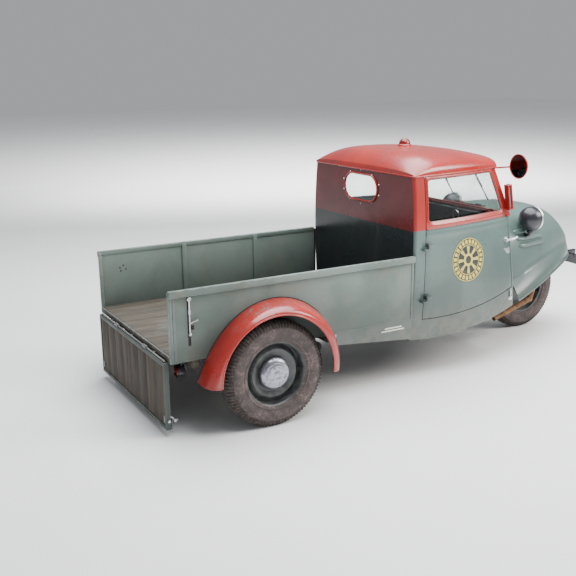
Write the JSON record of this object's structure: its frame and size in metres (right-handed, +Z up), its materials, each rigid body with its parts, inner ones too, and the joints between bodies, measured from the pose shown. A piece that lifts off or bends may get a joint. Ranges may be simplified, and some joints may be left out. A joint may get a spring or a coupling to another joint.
{
  "type": "three-wheeled pickup truck",
  "caption": "Three-wheeled pickup with drop-side load bed, hanging tailgate, rounded two-colour cab, hood with headlamps, and one steered front wheel under it.",
  "frame": {"origin": "on the ground, at the middle of the vehicle's length and width", "axes": "+X forward, +Y to the driver's left, +Z up"},
  "size_m": [4.04, 1.724, 1.6633],
  "materials": {
    "frame_black": "worn black chassis paint",
    "floor_boards": "weathered bed boards",
    "bed_paint": "weathered grey-green paint",
    "red_paint": "glossy signal red paint",
    "green_paint": "satin grey-green paint",
    "lamp_black": "gloss black lamp enamel",
    "lamp_red": "moulded red lamp lens",
    "slate_paint": "dark slate paint",
    "bright_steel": "plated steel",
    "window_glass": "clear glass",
    "engine_cast": "cast alloy",
    "rust": "rusty exhaust steel",
    "tyre": "dusty tyre rubber",
    "rim_grey": "dark grey wheel paint",
    "hubcap_steel": "dull pressed steel",
    "steering_plastic": "black moulded rim",
    "seat_leather": "dark brown leatherette",
    "amber": "amber signal arm",
    "gate_wood": "weathered boards"
  },
  "bodies": {
    "root": {"chassis_frame": "frame_black", "bed_floor": "floor_boards", "bed_side_right": "bed_paint", "bed_side_left": "bed_paint", "side_skirts": "bed_paint", "rear_fender_right": "red_paint", "rear_fender_left": "red_paint", "tail_lamps": "lamp_red", "cab_shell": "green_paint", "cab_roof": "red_paint", "cab_back_wall": "slate_paint", "cab_floor": "slate_paint", "rear_window_frame": "bright_steel", "rear_window_glass": "window_glass", "windscreen_frame": "red_paint", "windscreen_glass": "window_glass", "steering_column": "frame_black", "seat_cushion": "seat_leather", "seat_backrest": "seat_leather", "roof_lamp": "lamp_red", "trafficator_housings": "red_paint", "mirror_arm_right": "red_paint", "mirror_arm_left": "red_paint"},
    "steered_unit": {"fork": "frame_black", "engine": "engine_cast", "exhaust_pipe": "rust"},
    "front_wheel": {"front_tyre": "tyre", "front_rim": "rim_grey"},
    "steering_wheel": {"steering_wheel": "steering_plastic"},
    "hood": {"hood_shell": "green_paint", "headlamps": "lamp_black", "front_bumper": "frame_black"},
    "tailgate": {"tailgate_frame": "bed_paint", "tailgate_boards": "gate_wood"},
    "gear_lever": {"gear_lever": "steering_plastic"},
    "clutch_pedal": {"clutch_pedal": "frame_black"},
    "brake_pedal": {"brake_pedal": "frame_black"},
    "accelerator_pedal": {"accelerator_pedal": "frame_black"},
    "rear_arm_right": {"rear_arm_right": "frame_black"},
    "rear_wheel_right": {"rear_tyre_right": "tyre", "rear_rim_right": "rim_grey", "hubcap_right": "hubcap_steel"},
    "door_right": {"door_right": "green_paint"},
    "window_right": {"door_glass_right": "window_glass"},
    "handle_right": {"door_handle_right": "bright_steel"},
    "latch_right": {"latch_right": "bright_steel"},
    "mirror_right": {"mirror_right": "red_paint"},
    "trafficator_right": {"trafficator_arm_right": "amber"},
    "wiper_right": {"wiper_right": "frame_black"},
    "rear_arm_left": {"rear_arm_left": "frame_black"},
    "rear_wheel_left": {"rear_tyre_left": "tyre", "rear_rim_left": "rim_grey", "hubcap_left": "hubcap_steel"},
    "door_left": {"door_left": "green_paint"},
    "window_left": {"door_glass_left": "window_glass"},
    "handle_left": {"door_handle_left": "bright_steel"},
    "latch_left": {"latch_left": "bright_steel"},
    "mirror_left": {"mirror_left": "red_paint"},
    "trafficator_left": {"trafficator_arm_left": "amber"},
    "wiper_left": {"wiper_left": "frame_black"}
  },
  "joints": [
    {"name": "steering", "type": "hinge", "parent": "root", "child": "steered_unit", "pos_m": [1.471, 0, 0.343], "axis": [0, 0, 1], "range_deg": [-38, 38]},
    {"name": "steering_wheel_turn", "type": "hinge", "parent": "root", "child": "steering_wheel", "pos_m": [0.43, 0.27, 1.02], "axis": [-0.4895, 0, 0.872], "range_deg": [-345, 345]},
    {"name": "front_wheel_spin", "type": "hinge", "parent": "steered_unit", "child": "front_wheel", "pos_m": [1.471, 0, 0.343], "axis": [0, 1, 0], "continuous": true},
    {"name": "rear_arm_right_swing", "type": "hinge", "parent": "root", "child": "rear_arm_right", "pos_m": [-0.94, -0.584, 0.39], "axis": [0, 1, 0], "range_deg": [-5, 5], "stiffness_Nm_per_rad": 20000, "springref_deg": -2.29},
    {"name": "rear_wheel_right_spin", "type": "hinge", "parent": "rear_arm_right", "child": "rear_wheel_right", "pos_m": [-1.355, -0.752, 0.343], "axis": [0, 1, 0], "continuous": true},
    {"name": "rear_arm_left_swing", "type": "hinge", "parent": "root", "child": "rear_arm_left", "pos_m": [-0.94, 0.584, 0.39], "axis": [0, 1, 0], "range_deg": [-5, 5], "stiffness_Nm_per_rad": 20000, "springref_deg": -2.29},
    {"name": "rear_wheel_left_spin", "type": "hinge", "parent": "rear_arm_left", "child": "rear_wheel_left", "pos_m": [-1.355, 0.752, 0.343], "axis": [0, 1, 0], "continuous": true},
    {"name": "door_right_swing", "type": "hinge", "parent": "root", "child": "door_right", "pos_m": [-0.088, -0.68, 0.8], "axis": [0, 0, -1], "range_deg": [0, 70]},
    {"name": "window_right_slide", "type": "slide", "parent": "door_right", "child": "window_right", "axis": [0, -0.0599, -0.9982], "range_m": [0, 0.25]},
    {"name": "handle_right_turn", "type": "hinge", "parent": "door_right", "child": "handle_right", "pos_m": [0.741, -0.56, 0.925], "axis": [0, 1, 0], "range_deg": [0, 40], "stiffness_Nm_per_rad": 3, "springref_deg": -6.88},
    {"name": "door_left_swing", "type": "hinge", "parent": "root", "child": "door_left", "pos_m": [-0.088, 0.68, 0.8], "axis": [0, 0, 1], "range_deg": [0, 70]},
    {"name": "window_left_slide", "type": "slide", "parent": "door_left", "child": "window_left", "axis": [0, 0.0599, -0.9982], "range_m": [0, 0.25]},
    {"name": "handle_left_turn", "type": "hinge", "parent": "door_left", "child": "handle_left", "pos_m": [0.741, 0.56, 0.925], "axis": [0, 1, 0], "range_deg": [0, 40], "stiffness_Nm_per_rad": 3, "springref_deg": -6.88},
    {"name": "hood_lift", "type": "hinge", "parent": "root", "child": "hood", "pos_m": [0.86, 0, 1.121], "axis": [0, -1, 0], "range_deg": [0, 60]},
    {"name": "tailgate_drop", "type": "hinge", "parent": "root", "child": "tailgate", "pos_m": [-2.005, 0, 0.486], "axis": [0, 1, 0], "range_deg": [0, 180]},
    {"name": "latch_right_swing", "type": "hinge", "parent": "root", "child": "latch_right", "pos_m": [-1.86, -0.665, 0.867], "axis": [0, 1, 0], "range_deg": [0, 90]},
    {"name": "latch_left_swing", "type": "hinge", "parent": "root", "child": "latch_left", "pos_m": [-1.86, 0.665, 0.867], "axis": [0, 1, 0], "range_deg": [0, 90]},
    {"name": "mirror_right_turn", "type": "hinge", "parent": "root", "child": "mirror_right", "pos_m": [0.74, -0.7, 1.484], "axis": [0, 0, 1], "range_deg": [0, 25]},
    {"name": "mirror_left_turn", "type": "hinge", "parent": "root", "child": "mirror_left", "pos_m": [0.74, 0.7, 1.446], "axis": [0, 0, 1], "range_deg": [-25, 0]},
    {"name": "trafficator_right_lift", "type": "hinge", "parent": "root", "child": "trafficator_right", "pos_m": [0.75772, -0.544, 1.31092], "axis": [-0.9848, 0, -0.1736], "range_deg": [0, 80]},
    {"name": "trafficator_left_lift", "type": "hinge", "parent": "root", "child": "trafficator_left", "pos_m": [0.75772, 0.544, 1.31092], "axis": [0.9848, 0, 0.1736], "range_deg": [0, 80]},
    {"name": "wiper_right_sweep", "type": "hinge", "parent": "root", "child": "wiper_right", "pos_m": [0.6752, -0.2, 1.457], "axis": [0.9285, 0, 0.3714], "range_deg": [-35, 35]},
    {"name": "wiper_left_sweep", "type": "hinge", "parent": "root", "child": "wiper_left", "pos_m": [0.6752, 0.2, 1.457], "axis": [0.9285, 0, 0.3714], "range_deg": [-35, 35]},
    {"name": "gear_shift", "type": "hinge", "parent": "root", "child": "gear_lever", "pos_m": [0.61, 0, 0.456], "axis": [0, 1, 0], "range_deg": [-12, 12]},
    {"name": "clutch_press", "type": "hinge", "parent": "root", "child": "clutch_pedal", "pos_m": [0.76, 0.37, 0.8], "axis": [0, 1, 0], "range_deg": [-18, 0], "stiffness_Nm_per_rad": 25, "springref_deg": 6.88},
    {"name": "brake_press", "type": "hinge", "parent": "root", "child": "brake_pedal", "pos_m": [0.76, 0.19, 0.8], "axis": [0, 1, 0], "range_deg": [-18, 0], "stiffness_Nm_per_rad": 25, "springref_deg": 6.88},
    {"name": "accelerator_press", "type": "hinge", "parent": "root", "child": "accelerator_pedal", "pos_m": [0.76, 0.105, 0.8], "axis": [0, 1, 0], "range_deg": [-18, 0], "stiffness_Nm_per_rad": 25, "springref_deg": 6.88}
  ],
  "couplings": [
    {"joint": "steering_wheel_turn", "follows": "steering", "ratio": 9},
    {"joint": "wiper_left_sweep", "follows": "wiper_right_sweep", "ratio": 1}
  ]
}
